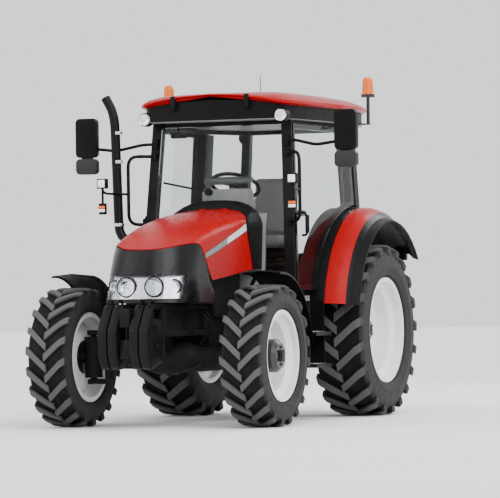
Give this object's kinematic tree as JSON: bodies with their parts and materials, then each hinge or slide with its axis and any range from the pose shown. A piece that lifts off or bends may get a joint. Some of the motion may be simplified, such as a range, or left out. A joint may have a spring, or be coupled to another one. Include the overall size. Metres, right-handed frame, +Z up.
{
  "type": "farm tractor",
  "caption": "Four-wheel-drive farm tractor with a glass cab, tilting hood, steered front axle, front weights and a rear three-point linkage.",
  "frame": {"origin": "on the ground under the middle of the tractor's bounding box", "axes": "+X forward, +Y to the driver's left, +Z up"},
  "size_m": [3.9273, 2.29, 2.667],
  "materials": {
    "red_paint": "gloss",
    "black_plastic": "satin",
    "black_steel": "satin",
    "dark_casting": "matte",
    "silver_paint": "satin",
    "tyre_rubber": "matte",
    "cab_glass": "gloss",
    "grey_trim": "satin",
    "black_grip": "matte",
    "seat_cloth": "matte",
    "clear_lens": "gloss",
    "amber_lens": "gloss"
  },
  "bodies": {
    "chassis": {"front_support": "dark_casting", "front_axle": "dark_casting", "drive_shaft": "dark_casting", "engine_block": "dark_casting", "radiator": "black_steel", "gearbox": "dark_casting", "rear_axle": "dark_casting", "front_weights": "dark_casting", "cowl": "black_plastic", "exhaust": "black_steel", "side_tanks": "black_plastic", "cab_steps": "black_steel", "cab_floor": "grey_trim", "wheel_houses": "black_plastic", "cab_frame": "black_steel", "roof_lining": "black_plastic", "roof_cap": "red_paint", "cab_glass": "cab_glass", "rear_fenders": "red_paint", "fender_flares": "black_plastic", "dash": "grey_trim", "seat": "seat_cloth", "side_console": "black_plastic", "mirrors": "black_plastic", "cab_lamps": "clear_lens", "beacons": "amber_lens", "drawbar": "dark_casting", "top_link": "dark_casting"},
    "hood": {"hood_shell": "red_paint", "hood_nose": "black_plastic", "headlamps": "clear_lens"},
    "door_left": {"door_left_frame": "black_steel", "door_left_glass": "cab_glass"},
    "door_right": {"door_right_frame": "black_steel", "door_right_glass": "cab_glass"},
    "steering_wheel": {"steering_wheel": "black_grip"},
    "knuckle_left": {"knuckle_left": "dark_casting", "front_fender_left": "black_plastic"},
    "knuckle_right": {"knuckle_right": "dark_casting", "front_fender_right": "black_plastic"},
    "track_rod": {"track_rod": "dark_casting"},
    "wheel_front_left": {"tyre_front_left": "tyre_rubber", "rim_front_left": "silver_paint"},
    "wheel_front_right": {"tyre_front_right": "tyre_rubber", "rim_front_right": "silver_paint"},
    "wheel_rear_left": {"tyre_rear_left": "tyre_rubber", "rim_rear_left": "silver_paint"},
    "wheel_rear_right": {"tyre_rear_right": "tyre_rubber", "rim_rear_right": "silver_paint"},
    "lower_links": {"lower_links": "dark_casting"},
    "lift_arms": {"lift_arms": "dark_casting"},
    "lift_rods": {"lift_rods": "dark_casting"}
  },
  "joints": [
    {"name": "steer_left", "type": "hinge", "parent": "chassis", "child": "knuckle_left", "pos_m": [1.15366, 0.6, 0.512], "axis": [0, 0, 1], "range_deg": [-40, 40]},
    {"name": "steer_right", "type": "hinge", "parent": "chassis", "child": "knuckle_right", "pos_m": [1.15366, -0.6, 0.512], "axis": [0, 0, 1], "range_deg": [-41, 41]},
    {"name": "track_rod_turn", "type": "hinge", "parent": "knuckle_left", "child": "track_rod", "pos_m": [0.93866, 0.6, 0.542], "axis": [0, 0, 1], "range_deg": [-41, 41]},
    {"name": "steering_wheel_turn", "type": "hinge", "parent": "chassis", "child": "steering_wheel", "pos_m": [-0.17634, 0, 1.79], "axis": [-0.4695, 0, 0.8829], "range_deg": [-485, 485]},
    {"name": "front_left_spin", "type": "hinge", "parent": "knuckle_left", "child": "wheel_front_left", "pos_m": [1.15366, 0.76, 0.512], "axis": [0, 1, 0], "continuous": true},
    {"name": "front_right_spin", "type": "hinge", "parent": "knuckle_right", "child": "wheel_front_right", "pos_m": [1.15366, -0.76, 0.512], "axis": [0, 1, 0], "continuous": true},
    {"name": "rear_left_spin", "type": "hinge", "parent": "chassis", "child": "wheel_rear_left", "pos_m": [-0.97634, 0.745, 0.664], "axis": [0, 1, 0], "continuous": true},
    {"name": "rear_right_spin", "type": "hinge", "parent": "chassis", "child": "wheel_rear_right", "pos_m": [-0.97634, -0.745, 0.664], "axis": [0, 1, 0], "continuous": true},
    {"name": "hood_tilt", "type": "hinge", "parent": "chassis", "child": "hood", "pos_m": [0.26266, 0, 1.596], "axis": [0, -1, 0], "range_deg": [0, 55]},
    {"name": "door_left_swing", "type": "hinge", "parent": "chassis", "child": "door_left", "pos_m": [-0.94767, 0.6716, 1.72576], "axis": [-0.0051, -0.0607, 0.9981], "range_deg": [0, 80]},
    {"name": "door_right_swing", "type": "hinge", "parent": "chassis", "child": "door_right", "pos_m": [-0.94767, -0.6716, 1.72576], "axis": [0.0051, -0.0607, -0.9981], "range_deg": [0, 80]},
    {"name": "link_lift", "type": "hinge", "parent": "chassis", "child": "lower_links", "pos_m": [-1.02634, 0, 0.46], "axis": [0, 1, 0], "range_deg": [0, 38]},
    {"name": "arm_lift", "type": "hinge", "parent": "chassis", "child": "lift_arms", "pos_m": [-1.17634, 0, 0.88], "axis": [0, 1, 0], "range_deg": [-1, 39]},
    {"name": "rod_turn", "type": "hinge", "parent": "lift_arms", "child": "lift_rods", "pos_m": [-1.5337, 0, 0.83648], "axis": [0, 1, 0], "range_deg": [-39, 1]}
  ],
  "couplings": [
    {"joint": "steer_right", "follows": "steer_left", "ratio": 1},
    {"joint": "track_rod_turn", "follows": "steer_left", "ratio": -1},
    {"joint": "steering_wheel_turn", "follows": "steer_left", "ratio": 12},
    {"joint": "arm_lift", "follows": "link_lift", "ratio": 1},
    {"joint": "rod_turn", "follows": "link_lift", "ratio": -1}
  ]
}
